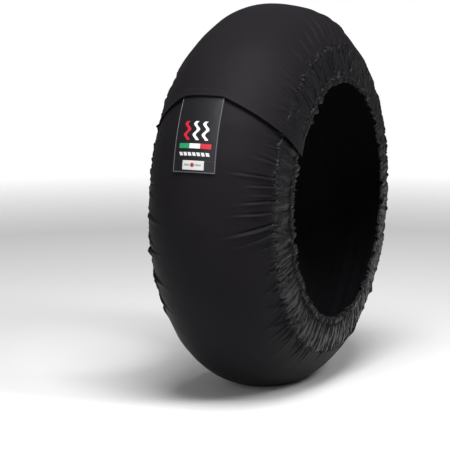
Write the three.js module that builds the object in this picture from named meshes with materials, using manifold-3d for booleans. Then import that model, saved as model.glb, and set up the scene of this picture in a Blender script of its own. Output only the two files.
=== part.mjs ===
// A motorcycle tyre warmer for a rear wheel, in the form it has when it is fitted: a heated, padded strip
// wrapped once round the tread, with a gathered cloth skirt on each side that an elastic draws in over it.
// The strip's two padded ends butt together, and its outer cover runs on past the joint as a flap that
// closes with hook-and-loop tape. The wheel's axle lies along Y, +Z is up, the origin is on the floor below
// the axle, and the flap's edge is at the front, towards -X. Millimetres.

import * as THREE from "three";
import { mergeVertices } from "three/addons/utils/BufferGeometryUtils.js";
import Module from "manifold-3d";

const wasm = await Module();
wasm.setup();

// Overall form
const crownRadius = 338; // outside of the cover, at the middle of the tread
const hemRadius = 205; // radius of the opening that the wheel shows through
const halfWidth = 124; // axle direction, from the middle to the skirts' cloth at the hem
const roundness = 2.2; // exponent of the section's curve: 2 is an ellipse, more is squarer
const restFlat = 8; // how far the padding is pressed flat where it stands
const clearance = 0.3; // between layers that lie on each other

// The strip and its closure, as lengths along the tread
const flapAngle = 143.3; // where the flap's edge lies, in degrees: 90 is the top and 180 the front
const overlapLength = 100; // how far the flap runs past the padded joint
const flapDrop = 50; // how much further the flap's side wings reach than its middle
const flapStraight = 36; // half of the flap's straight middle edge
const flapOffset = 8; // from the tread's middle to the middle of that edge, towards +Y
const rampLength = 120; // over which the cover rises to pass over its own end
const jointGap = 0.8; // between the padded ends
const hemFold = 13; // width of the flap's folded hem

// Cloths and padding
const coverThickness = 1;
const feltThickness = 6.5;
const carrierThickness = 0.8;
const cableSpace = 3.6; // between the carrier cloth and the lining
const liningThickness = 0.8;
const cableDiameter = 2.4;
const innerPass = 30; // arc from the tread's middle to the cable's inner and outer passes
const outerPass = 62;
const cableInset = 10; // from the strip's ends to the cable
const feltMargin = 20; // from the felt's edge to the seam
const carrierMargin = 28; // from the carrier cloth's edge to the felt's edge
const feltEdgeThickness = 3;

// Side skirts
const skirtWidth = 65; // arc from the seam to the hem
const skirtThickness = 1;
const seamLap = 8; // how far the skirt runs under the cover
const lapClearance = 0.8; // between the cover's edge and the skirt under it
const pleatCount = 56;
const pleatHeight = 4.5; // half of the height from a pleat's valley to its ridge
const gatherRun = 70; // along the tread, over which the gathers grow to their full height
const plainEnd = 60; // of the skirt's lower end, in front of the flap's wing, that has no gathers
const tunnelWidth = 14; // the hem is folded round the elastic
const tunnelHeight = 3.6; // half of the tunnel's height
const elasticWidth = 3.5;
const elasticThickness = 0.8;

// Closure tapes
const tapeThickness = 1.1;
const pileSpace = 0.9; // between the hook tape's backing and the loop tape
const tapeInset = 26.5; // from the flap's edge
const tapeLength = 59;

// Label with its indicator lamp
const labelWidth = 77;
const labelLength = 134; // that shows below the flap
const labelToTape = 4.5; // from the label's upper end, under the flap, to the closure tapes
const labelThickness = 2;
const labelOffset = 8; // from the tread's middle, towards +Y
const labelBorder = 2.2;
const borderHeight = 0.7;
const borderGap = 3.5; // from the flap's edge to the border's upper ends
const plateWidth = 38;
const plateLength = 15.5;
const plateThickness = 1.3;
const plateFromEnd = 4.5; // above the label's lower end
const lampDiameter = 4.6;
const lampHeight = 1.1;
const leadDiameter = 1.6; // the lamp's lead, in a groove of the felt
const leadInset = 12; // from the padding's end to the lead's upper end
const grooveRoom = 6; // by which the groove runs on past each end of the lead

// Parts of the heating circuit
const thermostatLength = 22;
const thermostatWidth = 9;
const thermostatHeight = 4.2;
const thermostatInset = 71; // from the padding's end to its middle
const thermostatOffset = 42; // from the tread's middle, towards -Y
const thermostatRoom = 1; // round it in its pocket
const spliceLength = 14;
const spliceDiameter = 2.9;
const grommetFlange = 18;
const grommetNeck = 11.4;
const grommetHole = 8;

const turnSteps = 38; // facets in one turn
const axleHeight = crownRadius - restFlat;
const radians = THREE.MathUtils.degToRad;
const degrees = THREE.MathUtils.radToDeg;
const smooth = (t) => THREE.MathUtils.smoothstep(t, 0, 1);

// Half of the section as points by arc length, from the crown (0) to the hem.
const sectionPoints = (() => {
  const samples = 900;
  const points = [];
  let arc = 0;
  for (let i = 0; i <= samples; i++) {
    const angle = (i / samples) * (Math.PI / 2);
    const y = halfWidth * Math.sin(angle) ** (2 / roundness);
    const r = hemRadius + (crownRadius - hemRadius) * Math.max(Math.cos(angle), 0) ** (2 / roundness);
    if (i) arc += Math.hypot(y - points[i - 1].y, r - points[i - 1].r);
    points.push({ arc, y, r });
  }
  return points;
})();
const hemArc = sectionPoints.at(-1).arc;
const seamArc = hemArc - skirtWidth;
const feltHalfWidth = seamArc - feltMargin;
const carrierHalfWidth = feltHalfWidth - carrierMargin;

// The section's point and outward direction at an arc length from the crown; the arc is negative towards -Y.
function sectionAt(arc) {
  const wanted = THREE.MathUtils.clamp(Math.abs(arc), 0, hemArc);
  let low = 0;
  let high = sectionPoints.length - 1;
  while (high - low > 1) {
    const middle = (low + high) >> 1;
    if (sectionPoints[middle].arc <= wanted) low = middle;
    else high = middle;
  }
  const a = sectionPoints[low];
  const b = sectionPoints[high];
  const t = (wanted - a.arc) / (b.arc - a.arc);
  const before = sectionPoints[Math.max(low - 4, 0)];
  const after = sectionPoints[Math.min(high + 4, sectionPoints.length - 1)];
  const run = Math.hypot(after.y - before.y, after.r - before.r);
  const side = Math.sign(arc) || 1;
  const atCrown = wanted < 1e-6;
  return {
    y: side * (a.y + (b.y - a.y) * t),
    r: a.r + (b.r - a.r) * t,
    outY: atCrown ? 0 : (side * (before.r - after.r)) / run,
    outR: atCrown ? 1 : (after.y - before.y) / run,
  };
}

// A point of the warmer: angle round the axle in degrees, arc across the section, depth below the outside.
function place(angle, arc, depth) {
  const s = sectionAt(arc);
  const r = s.r - depth * s.outR;
  const y = s.y - depth * s.outY;
  const z = axleHeight + r * Math.sin(radians(angle));
  return new THREE.Vector3(r * Math.cos(radians(angle)), y, Math.max(z, depth, 0));
}

// Wraps are degrees along the strip from the flap's edge; a larger wrap goes up over the top and round.
const alongTread = (length) => degrees(length / crownRadius);
const overlap = alongTread(overlapLength);
const ramp = alongTread(rampLength);
const jointHalf = alongTread(jointGap) / 2;
const angleOf = (wrap) => flapAngle - wrap;
const bottomWrap = flapAngle + 90;

// Positions of the facets, shared by every layer, so that layers on each other never cross.
const tapeStart = alongTread(tapeInset);
const tapeEnd = alongTread(tapeInset + tapeLength);
const flapWraps = [0, alongTread(hemFold), tapeStart, (tapeStart + tapeEnd) / 2, tapeEnd, overlap];
function steps(from, to, count) {
  return Array.from({ length: count }, (_, i) => from + ((to - from) * (i + 1)) / count);
}
const step = 360 / turnSteps;
const turnWraps = [
  ...steps(overlap, bottomWrap, Math.round((bottomWrap - overlap) / step)),
  ...steps(bottomWrap, 360, Math.round((360 - bottomWrap) / step)),
];
const coverWraps = [...flapWraps, ...turnWraps, ...flapWraps.slice(1).map((w) => w + 360)];
const coreWraps = [
  overlap + jointHalf,
  ...turnWraps,
  ...flapWraps.slice(1, -1).map((w) => w + 360),
  360 + overlap - jointHalf,
];

// Columns across the tread, the same on both sides of the middle.
const halfColumns = [innerPass, outerPass, carrierHalfWidth, feltHalfWidth];
const coverHalf = [...halfColumns, (feltHalfWidth + seamArc) / 2, seamArc];
const mirrored = (list) => [...list.map((v) => -v).reverse(), ...list];

// The same point, but on the flat facet between the shared positions and columns, not on the true curve.
const facetWraps = [...flapWraps, ...turnWraps];
const facetArcs = mirrored(coverHalf);
function bracket(list, value) {
  const next = THREE.MathUtils.clamp(
    list.findIndex((v) => v >= value),
    1,
    list.length - 1,
  );
  return [list[next - 1], list[next], (value - list[next - 1]) / (list[next] - list[next - 1])];
}
function placeFlat(angle, arc, depth) {
  const [a, b, along] = bracket(facetWraps, THREE.MathUtils.euclideanModulo(flapAngle - angle, 360));
  const onCover = Math.abs(arc) <= seamArc;
  const [c, d, across] = onCover ? bracket(facetArcs, arc) : [arc, arc, 0];
  const near = place(angleOf(a), c, depth).lerp(place(angleOf(b), c, depth), along);
  const far = place(angleOf(a), d, depth).lerp(place(angleOf(b), d, depth), along);
  return near.lerp(far, across);
}

// Solid between two grids of points. rows[i][j] and its partner in inner[i][j] bound the cloth's two faces.
function sheetSolid(outer, inner) {
  const rows = outer.length;
  const columns = outer[0].length;
  const positions = [];
  for (const p of [...outer.flat(), ...inner.flat()]) positions.push(p.x, p.y, p.z);
  const top = (i, j) => i * columns + j;
  const under = (i, j) => rows * columns + i * columns + j;
  const index = [];
  const quad = (a, b, c, d) => index.push(a, b, c, a, c, d);
  for (let i = 0; i + 1 < rows; i++) {
    for (let j = 0; j + 1 < columns; j++) {
      quad(top(i, j), top(i + 1, j), top(i + 1, j + 1), top(i, j + 1));
      quad(under(i, j), under(i, j + 1), under(i + 1, j + 1), under(i + 1, j));
    }
    quad(top(i, 0), under(i, 0), under(i + 1, 0), top(i + 1, 0));
    const last = columns - 1;
    quad(top(i, last), top(i + 1, last), under(i + 1, last), under(i, last));
  }
  for (let j = 0; j + 1 < columns; j++) {
    quad(top(0, j), top(0, j + 1), under(0, j + 1), under(0, j));
    const last = rows - 1;
    quad(top(last, j), under(last, j), under(last, j + 1), top(last, j + 1));
  }
  return facingOut(positions, index);
}

// A geometry whose faces point outwards, whichever way its grid ran.
function facingOut(positions, index) {
  let volume = 0;
  const p = (i) => new THREE.Vector3(positions[3 * i], positions[3 * i + 1], positions[3 * i + 2]);
  for (let i = 0; i < index.length; i += 3) {
    volume += p(index[i]).dot(p(index[i + 1]).cross(p(index[i + 2])));
  }
  if (volume < 0) {
    for (let i = 0; i < index.length; i += 3) {
      [index[i + 1], index[i + 2]] = [index[i + 2], index[i + 1]];
    }
  }
  const geometry = new THREE.BufferGeometry();
  geometry.setAttribute("position", new THREE.Float32BufferAttribute(positions, 3));
  geometry.setIndex(index);
  geometry.computeVertexNormals();
  return geometry;
}

// A layer of the strip: point(wrap, arc, face) gives its outer face (0) and its inner face (1).
function layer(wraps, arcs, point) {
  const grid = (face) => wraps.map((wrap) => arcs.map((arc) => point(wrap, arc, face)));
  return sheetSolid(grid(0), grid(1));
}

// A patch that lies on the tread between two angles and two arcs, with its own top and bottom depth.
function patch(angleFrom, angleTo, arcFrom, arcTo, topDepth, bottomDepth) {
  const facets = [...coverWraps, ...coverWraps.map((w) => w - 360)].map(angleOf);
  const angles = [angleFrom, ...facets.filter((a) => a > angleFrom + 0.2 && a < angleTo - 0.2), angleTo];
  const columns = mirrored(halfColumns).filter((c) => c > arcFrom + 0.5 && c < arcTo - 0.5);
  const sorted = [...new Set(angles)].sort((a, b) => a - b);
  const arcs = [arcFrom, ...columns, arcTo];
  const grid = (depth) => sorted.map((angle) => arcs.map((arc) => placeFlat(angle, arc, depth)));
  return sheetSolid(grid(topDepth), grid(bottomDepth));
}

// Booleans
function toManifold(geometry) {
  const plain = geometry.clone();
  for (const name of Object.keys(plain.attributes)) if (name !== "position") plain.deleteAttribute(name);
  const merged = mergeVertices(plain, 1e-4);
  return new wasm.Manifold(
    new wasm.Mesh({
      numProp: 3,
      vertProperties: new Float32Array(merged.attributes.position.array),
      triVerts: new Uint32Array(merged.index.array),
    }),
  );
}
function fromManifold(solid) {
  const mesh = solid.getMesh();
  const geometry = new THREE.BufferGeometry();
  geometry.setAttribute("position", new THREE.BufferAttribute(new Float32Array(mesh.vertProperties), 3));
  geometry.setIndex(new THREE.BufferAttribute(new Uint32Array(mesh.triVerts), 1));
  geometry.computeVertexNormals();
  return geometry;
}
function cut(geometry, ...tools) {
  let solid = toManifold(geometry);
  for (const tool of tools) solid = solid.subtract(toManifold(tool));
  return fromManifold(solid);
}

// Turns a geometry built on the local axes (x along the strip, y across it, z outwards) onto a facet.
function seat(geometry, angle, arc, depth) {
  const middle = placeFlat(angle, arc, depth);
  const along = placeFlat(angle + 0.5, arc, depth).sub(middle).normalize();
  const across = placeFlat(angle, arc + 1, depth).sub(middle).normalize();
  const outwards = along.clone().cross(across).negate().normalize();
  const matrix = new THREE.Matrix4().makeBasis(along, outwards.clone().cross(along), outwards);
  matrix.setPosition(middle);
  return geometry.clone().applyMatrix4(matrix);
}

// Materials
function cloth(color, roughness, metalness = 0) {
  return new THREE.MeshStandardMaterial({ color, roughness, metalness });
}

const nylonBlack = cloth(0x26262a, 0.5);
const nylonSkirt = cloth(0x2a2a2e, 0.45);
const feltGrey = cloth(0x6f6c66, 0.95);
const glassCloth = cloth(0xd8d4c6, 0.9);
const aramidLining = cloth(0x34353a, 0.9);
const siliconeRed = cloth(0xa8321f, 0.5);
const elasticBlack = cloth(0x1b1b1d, 0.8);
const hookTape = cloth(0x151517, 0.85);
const labelBlack = cloth(0x232327, 0.4);
const borderGrey = cloth(0x55555c, 0.4);
const plateSilver = cloth(0xc9c9cc, 0.35);
const lampRed = cloth(0xb3202a, 0.2);
const metalSteel = cloth(0xb8b8ba, 0.3, 1);
const rubberBlack = cloth(0x161616, 0.7);

const warmer = new THREE.Group();
warmer.name = "tyre_warmer";
function add(name, geometry, material) {
  const mesh = new THREE.Mesh(geometry, material);
  mesh.name = name;
  warmer.add(mesh);
  return mesh;
}

// Depths of the layers, from the outside in
const feltTop = coverThickness + clearance;
const feltBottom = feltTop + feltThickness;
const carrierTop = feltBottom + clearance;
const carrierBottom = carrierTop + carrierThickness;
const cableDepth = carrierBottom + cableSpace / 2;
const liningTop = carrierBottom + cableSpace;
const liningBottom = liningTop + liningThickness;
const lapTop = coverThickness + lapClearance;
const lapBottom = lapTop + skirtThickness;
const tapeStack = clearance + tapeThickness + pileSpace + tapeThickness + clearance;
const flapLift = tapeStack + coverThickness;

// How far the cover and the skirts stand off their usual place: over their own end, and less along the ramp.
function lift(wrap) {
  return flapLift * (1 - smooth((wrap - overlap) / ramp));
}

// The flap's edge is straight in the middle and reaches further down at its wings.
function edgeDrop(arc) {
  const reach = hemArc - Math.sign(arc - flapOffset) * flapOffset - flapStraight;
  const share = Math.max(Math.abs(arc - flapOffset) - flapStraight, 0) / reach;
  return alongTread(flapDrop) * share;
}

function flapAngleAt(wrap, arc) {
  return angleOf(wrap) + edgeDrop(arc) * THREE.MathUtils.clamp(1 - wrap / overlap, 0, 1);
}

function coverPoint(wrap, arc, face) {
  const foldedHem = wrap <= alongTread(hemFold) ? coverThickness * 0.5 : 0;
  const depth = face ? coverThickness : -foldedHem;
  return place(flapAngleAt(wrap, arc), arc, depth - lift(wrap));
}

// The lead's way in, in the middle of a facet on the hidden side, behind the flap's ramp
const inletRow = turnWraps.findIndex((w) => w > overlap + ramp);
const inletAngle = angleOf((turnWraps[inletRow] + turnWraps[inletRow + 1]) / 2);
const inletArc = (halfColumns[1] + halfColumns[2]) / 2;
function disc(diameter, from, to) {
  const geometry = new THREE.CylinderGeometry(diameter / 2, diameter / 2, to - from, 20);
  return geometry.rotateX(Math.PI / 2).translate(0, 0, (from + to) / 2);
}
const onInlet = (geometry) => seat(geometry, inletAngle, inletArc, 0);
const coverHole = onInlet(disc(grommetNeck + 2 * clearance, -4, 4));
add("outer_cover", cut(layer(coverWraps, mirrored(coverHalf), coverPoint), coverHole), nylonBlack);

function grommet() {
  const outerTop = 2.1;
  const seatTop = 0.5;
  const seatBottom = -coverThickness - 0.5;
  const outerBottom = seatBottom - 1.6;
  const flange = grommetFlange / 2;
  const neck = grommetNeck / 2;
  const hole = grommetHole / 2;
  const outline = [
    [hole, outerTop],
    [hole, outerBottom],
    [flange, outerBottom],
    [flange, seatBottom],
    [neck, seatBottom],
    [neck, seatTop],
    [flange, seatTop],
    [flange - 1.4, outerTop],
    [hole, outerTop],
  ].map(([x, y]) => new THREE.Vector2(x, y));
  return new THREE.LatheGeometry(outline, 20).rotateX(Math.PI / 2);
}
add("lead_grommet", onInlet(mergeVertices(stripped(grommet()), 1e-4)), rubberBlack);

function stripped(geometry) {
  const plain = geometry.clone();
  plain.deleteAttribute("normal");
  plain.deleteAttribute("uv");
  return plain;
}

// Padding: one strip of felt, thinner at its edges, with pockets for the thermostat and the lamp's lead.
function feltPoint(wrap, arc, face) {
  const edge = Math.abs(arc) > carrierHalfWidth + 1;
  const bottom = edge ? feltTop + feltEdgeThickness : feltBottom;
  return place(angleOf(wrap), arc, face ? bottom : feltTop);
}
const thermostatWrap = overlap + alongTread(thermostatInset);
const pocketFloor = feltTop + thermostatHeight + 2 * clearance;
const pocket = seat(
  new THREE.BoxGeometry(
    thermostatLength + 2 * thermostatRoom,
    thermostatWidth + 2 * thermostatRoom,
    2 * pocketFloor,
  ),
  angleOf(thermostatWrap),
  -thermostatOffset,
  0,
);
const leadArc = labelOffset;
const leadDepth = feltTop + clearance + leadDiameter / 2;
const leadFrom = angleOf(overlap) + alongTread(leadInset);
const labelEnd = flapAngle + alongTread(labelLength);
const plateMiddle = labelEnd - alongTread(plateFromEnd + plateLength / 2);
const groove = patch(
  leadFrom - alongTread(grooveRoom),
  plateMiddle + alongTread(grooveRoom),
  leadArc - leadDiameter,
  leadArc + leadDiameter,
  feltTop - clearance / 2,
  leadDepth + leadDiameter / 2 + 3 * clearance,
);
const inletWell = onInlet(disc(grommetFlange + 2, -coverThickness - 4, 2));
const feltStrip = layer(coreWraps, mirrored(halfColumns), feltPoint);
add("felt_padding", cut(feltStrip, pocket, groove, inletWell), feltGrey);

function thermostat() {
  const straight = (thermostatLength - thermostatWidth) / 2;
  const half = thermostatWidth / 2;
  const outline = new THREE.Shape();
  outline.absarc(straight, 0, half, -Math.PI / 2, Math.PI / 2, false);
  outline.absarc(-straight, 0, half, Math.PI / 2, (3 * Math.PI) / 2, false);
  const settings = { depth: thermostatHeight, bevelEnabled: false, curveSegments: 6 };
  return new THREE.ExtrudeGeometry(outline, settings);
}
const thermostatDepth = pocketFloor - clearance;
const thermostatSolid = seat(thermostat(), angleOf(thermostatWrap), -thermostatOffset, thermostatDepth);
add("thermostat", thermostatSolid, metalSteel);

// The cloth that carries the heating cable
const carrierColumns = mirrored(halfColumns.filter((c) => c <= carrierHalfWidth));
add(
  "cable_carrier_cloth",
  layer(coreWraps, carrierColumns, (wrap, arc, face) =>
    place(angleOf(wrap), arc, face ? carrierBottom : carrierTop),
  ),
  glassCloth,
);

// The heating cable makes four passes round the strip. Both of its ends are at the same end of the strip.
const spliceWrap = alongTread(spliceLength + 6 * clearance);
const cableStart = overlap + alongTread(cableInset);
const cableTurn = 360 + overlap - alongTread(cableInset);
const passWraps = coreWraps.filter((w) => w > cableStart + spliceWrap + 1 && w < cableTurn - 1);
const passArcs = [-outerPass, -innerPass, innerPass, outerPass];
function cablePoints() {
  const points = [];
  passArcs.forEach((arc, pass) => {
    const near = pass === 0 || pass === passArcs.length - 1 ? cableStart + spliceWrap : cableStart;
    const wraps = [near, ...passWraps, cableTurn];
    const forward = pass % 2 === 0;
    for (const wrap of forward ? wraps : [...wraps].reverse()) points.push({ wrap, arc });
  });
  return points;
}
// A tube with a diamond section round a row of points on the strip.
function tube(points, depth, radius) {
  const ring = points.map(({ wrap, arc }, i) => {
    const here = placeFlat(angleOf(wrap), arc, depth);
    const before = points[Math.max(i - 1, 0)];
    const after = points[Math.min(i + 1, points.length - 1)];
    const from = placeFlat(angleOf(before.wrap), before.arc, depth);
    const direction = placeFlat(angleOf(after.wrap), after.arc, depth).sub(from).normalize();
    const outwards = placeFlat(angleOf(wrap), arc, depth - 1).sub(here).normalize();
    const sideways = direction.cross(outwards).normalize();
    return [
      here.clone().addScaledVector(outwards, radius),
      here.clone().addScaledVector(sideways, radius),
      here.clone().addScaledVector(outwards, -radius),
      here.clone().addScaledVector(sideways, -radius),
    ];
  });
  const positions = ring.flat().flatMap((p) => [p.x, p.y, p.z]);
  const index = [];
  for (let i = 0; i + 1 < ring.length; i++) {
    for (let k = 0; k < 4; k++) {
      const a = 4 * i + k;
      const b = 4 * i + ((k + 1) % 4);
      index.push(a, b, b + 4, a, b + 4, a + 4);
    }
  }
  const end = 4 * (ring.length - 1);
  index.push(0, 2, 1, 0, 3, 2, end, end + 1, end + 2, end, end + 2, end + 3);
  return facingOut(positions, index);
}
add("heating_cable", tube(cablePoints(), cableDepth, cableDiameter / 2), siliconeRed);
for (const [name, arc] of [
  ["supply_splice_right", passArcs[0]],
  ["supply_splice_left", passArcs[3]],
]) {
  const splice = new THREE.CylinderGeometry(spliceDiameter / 2, spliceDiameter / 2, spliceLength, 10);
  const wrap = cableStart + spliceWrap / 2;
  add(name, seat(splice.rotateZ(Math.PI / 2), angleOf(wrap), arc, cableDepth), metalSteel);
}
const leadWraps = coverWraps.map((w) => (w > 180 ? w - 360 : w));
const leadPoints = [
  leadFrom,
  ...[...new Set(leadWraps.map(angleOf))].filter((a) => a > leadFrom + 0.2 && a < plateMiddle - 0.2),
  plateMiddle,
].sort((a, b) => a - b);
add(
  "lamp_lead",
  tube(
    leadPoints.map((angle) => ({ wrap: angleOf(angle), arc: leadArc })),
    leadDepth,
    leadDiameter / 2,
  ),
  siliconeRed,
);

// Inner lining: the face that touches the tyre
const liningEdge = seamArc - 3;
function liningPoint(wrap, arc, face) {
  const size = Math.abs(arc);
  const edgeDepth = lapBottom + 3 * clearance;
  const middle = feltTop + feltEdgeThickness + 2;
  const top = size > feltHalfWidth + 1 ? edgeDepth : size > carrierHalfWidth + 1 ? middle : liningTop;
  return place(angleOf(wrap), arc, face ? top + liningThickness : top);
}
add("inner_lining", layer(coreWraps, mirrored([...halfColumns, liningEdge]), liningPoint), aramidLining);

// A side skirt: cloth sewn under the cover's edge, gathered in pleats, and folded over at the hem into a
// tunnel for the elastic. Its path is a row of arcs and depths, and swing is the pleats' share at each.
const skirtPath = [
  { arc: seamArc - seamLap, depth: lapTop + skirtThickness / 2, swing: 0 },
  { arc: seamArc + 2, depth: lapTop + skirtThickness / 2, swing: 0.1 },
  { arc: seamArc + skirtWidth * 0.45, depth: -0.8, swing: 1 },
  { arc: hemArc - tunnelWidth / 2, depth: 0, tunnel: -1, swing: 0.3 },
  { arc: hemArc, depth: 0, swing: 0.35 },
  { arc: hemArc - tunnelWidth / 2, depth: 0, tunnel: 1, swing: 0.3 },
];
const pleatWraps = steps(overlap, 360, 2 * pleatCount);
const skirtWraps = [...flapWraps, ...pleatWraps, ...flapWraps.slice(1).map((w) => w + 360)];
// Shares of full size: pleats and tunnel are flat in the wing that lies on top and in the end under it.
const gatherTurn = alongTread(gatherRun);
const gatherEnd = 360 - alongTread(plainEnd) - gatherTurn;
function fullness(wrap) {
  return smooth((wrap - overlap) / gatherTurn) * (1 - smooth((wrap - gatherEnd) / gatherTurn));
}
const tunnelShare = (wrap) => 0.3 + 0.7 * fullness(wrap);
function skirt(side) {
  const faces = [[], []];
  skirtWraps.forEach((wrap, i) => {
    const pleated = wrap > overlap && wrap < 360;
    const wave = pleated ? (i % 2 ? 1 : -1) * pleatHeight * fullness(wrap) : 0;
    const line = skirtPath.map(({ arc, depth, tunnel = 0, swing }) => {
      const height = tunnel * tunnelHeight * tunnelShare(wrap);
      return new THREE.Vector2(arc, depth + height - wave * swing);
    });
    const row = [[], []];
    line.forEach((point, k) => {
      const run = line[Math.min(k + 1, line.length - 1)].clone().sub(line[Math.max(k - 1, 0)]).normalize();
      const normal = new THREE.Vector2(run.y, -run.x);
      [0, 1].forEach((face) => {
        const offset = (face ? -1 : 1) * (skirtThickness / 2);
        const at = point.clone().addScaledVector(normal, offset);
        const arc = side * Math.min(at.x, hemArc - 0.01);
        const depth = at.y - lift(wrap);
        const angle = flapAngleAt(wrap, arc);
        row[face].push(pleated && k < 2 ? placeFlat(angle, arc, depth) : place(angle, arc, depth));
      });
    });
    faces[0].push(row[0]);
    faces[1].push(row[1]);
  });
  return sheetSolid(faces[0], faces[1]);
}

// The elastic in the hem's tunnel
function elastic(side) {
  const near = hemArc - tunnelWidth / 2 - elasticWidth * 0.8;
  const wraps = turnWraps.filter((w) => w > overlap + gatherTurn && w < gatherEnd);
  return layer(wraps, [near, near + elasticWidth], (wrap, arc, face) =>
    place(angleOf(wrap), side * arc, (face ? 0.5 : -0.5) * elasticThickness),
  );
}
for (const [name, side] of [
  ["right", -1],
  ["left", 1],
]) {
  add(`side_skirt_${name}`, skirt(side), nylonSkirt);
  add(`hem_elastic_${name}`, elastic(side), elasticBlack);
}

// Hook-and-loop tapes between the flap and the end that it covers
const loopTop = -(clearance + tapeThickness);
const hookBottom = loopTop - pileSpace;
const hookTop = hookBottom - tapeThickness;
const tapeWraps = flapWraps.filter((w) => w >= tapeStart && w <= tapeEnd);
for (const [name, arcs] of [
  ["right", [-feltHalfWidth, -carrierHalfWidth]],
  ["centre", [-halfColumns[1], -halfColumns[0], halfColumns[0], halfColumns[1]]],
  ["left", [carrierHalfWidth, feltHalfWidth]],
]) {
  const hook = layer(tapeWraps, arcs, (wrap, arc, face) =>
    place(flapAngleAt(wrap, arc), arc, face ? hookBottom : hookTop),
  );
  add(`hook_tape_${name}`, hook, hookTape);
  const loop = layer(tapeWraps, arcs, (wrap, arc, face) =>
    place(angleOf(wrap), arc, face ? -clearance : loopTop),
  );
  add(`loop_tape_${name}`, loop, hookTape);
}

// The label hangs from under the flap's straight edge and lies on the tread
const labelFrom = flapAngle - alongTread(tapeInset - labelToTape);
const labelRight = labelOffset - labelWidth / 2;
const labelLeft = labelOffset + labelWidth / 2;
const labelBottom = -clearance;
const labelTop = labelBottom - labelThickness;
add("label_patch", patch(labelFrom, labelEnd, labelRight, labelLeft, labelTop, labelBottom), labelBlack);
const borderWrap = alongTread(labelBorder);
const borderTop = labelTop - clearance - borderHeight;
const showFrom = flapAngle + alongTread(borderGap);
const borderOutside = patch(showFrom, labelEnd, labelRight, labelLeft, borderTop, labelTop - clearance);
const borderInside = patch(
  showFrom - alongTread(labelBorder),
  labelEnd - borderWrap,
  labelRight + labelBorder,
  labelLeft - labelBorder,
  borderTop - 2,
  labelTop + 2,
);
add("label_border", cut(borderOutside, borderInside), borderGrey);
const plateTop = labelTop - clearance - plateThickness;
add(
  "indicator_plate",
  patch(
    plateMiddle - alongTread(plateLength / 2),
    plateMiddle + alongTread(plateLength / 2),
    labelOffset - 1 - plateWidth / 2,
    labelOffset - 1 + plateWidth / 2,
    plateTop,
    labelTop - clearance,
  ),
  plateSilver,
);
add(
  "indicator_lamp",
  seat(disc(lampDiameter, clearance, clearance + lampHeight), plateMiddle, labelOffset - 2, plateTop),
  lampRed,
);

export default warmer;
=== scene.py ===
# %% [markdown]
# # A motorcycle tyre warmer
# The CAD model gives every piece its size and place. Here the cloth gets its real look: a smooth padded
# cover, a flap with a turned hem, gathered skirts whose folds come from a small cloth solver, seams and
# stitching. Everything is in metres. The wheel's axle lies along Y, the flap and its label face -X, and
# +Z is up.

import math

import bpy
import numpy as np
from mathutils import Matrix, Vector


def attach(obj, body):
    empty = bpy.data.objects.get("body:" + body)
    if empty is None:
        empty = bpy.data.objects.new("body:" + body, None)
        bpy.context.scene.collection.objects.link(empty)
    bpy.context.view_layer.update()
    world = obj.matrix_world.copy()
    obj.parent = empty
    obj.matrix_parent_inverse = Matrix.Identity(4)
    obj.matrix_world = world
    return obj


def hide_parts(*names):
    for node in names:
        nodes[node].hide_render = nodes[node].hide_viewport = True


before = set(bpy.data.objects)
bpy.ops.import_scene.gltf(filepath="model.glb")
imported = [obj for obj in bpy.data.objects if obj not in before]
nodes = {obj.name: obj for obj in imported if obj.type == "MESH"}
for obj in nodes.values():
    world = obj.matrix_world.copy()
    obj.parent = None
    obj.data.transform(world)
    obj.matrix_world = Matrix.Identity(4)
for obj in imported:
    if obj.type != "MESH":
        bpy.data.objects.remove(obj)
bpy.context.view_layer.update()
print("CAD nodes:", len(nodes))

# %% [markdown]
# ## The section
# Half of the warmer's section is one curve from the crown to the hem, a superellipse: it is flat over
# the tread, turns quickly at the shoulder and ends square to the axle. A piece is placed on it by three
# numbers: the angle round the axle, the arc length across the section from the crown, and the depth
# below the outside. Arc length is the useful measure for cloth, because a strip keeps its width when it
# is laid round the tyre.

# %% Section of the warmer
CROWN_RADIUS = 0.338
HEM_RADIUS = 0.205
HALF_WIDTH = 0.124
ROUNDNESS = 2.2
REST_FLAT = 0.008
AXLE_HEIGHT = CROWN_RADIUS - REST_FLAT
SKIRT_WIDTH = 0.065

turn = np.linspace(0, np.pi / 2, 4001)
section_y = HALF_WIDTH * np.sin(turn) ** (2 / ROUNDNESS)
section_r = HEM_RADIUS + (CROWN_RADIUS - HEM_RADIUS) * np.maximum(np.cos(turn), 0) ** (2 / ROUNDNESS)
steps = np.hypot(np.diff(section_y), np.diff(section_r))
section_arc = np.concatenate([[0], np.cumsum(steps)])
HEM_ARC = section_arc[-1]
SEAM_ARC = HEM_ARC - SKIRT_WIDTH

even_arc = np.linspace(0, HEM_ARC, 1200)
even_y = np.interp(even_arc, section_arc, section_y)
even_r = np.interp(even_arc, section_arc, section_r)
slope_y = np.gradient(even_y, even_arc)
slope_r = np.gradient(even_r, even_arc)


def section(arc):
    """Width y, radius r and the outward direction (out_y, out_r) of the section at an arc length.

    The outward direction is the curve's tangent (dy, dr) turned by 90 degrees: out_y = -dr, out_r = dy.
    """
    size = np.clip(np.abs(arc), 0, HEM_ARC)
    side = np.where(arc < 0, -1.0, 1.0)
    y = np.interp(size, even_arc, even_y)
    r = np.interp(size, even_arc, even_r)
    dy = np.interp(size, even_arc, slope_y)
    dr = np.interp(size, even_arc, slope_r)
    run = np.hypot(dy, dr)
    return side * y, r, side * -dr / run, dy / run


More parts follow.
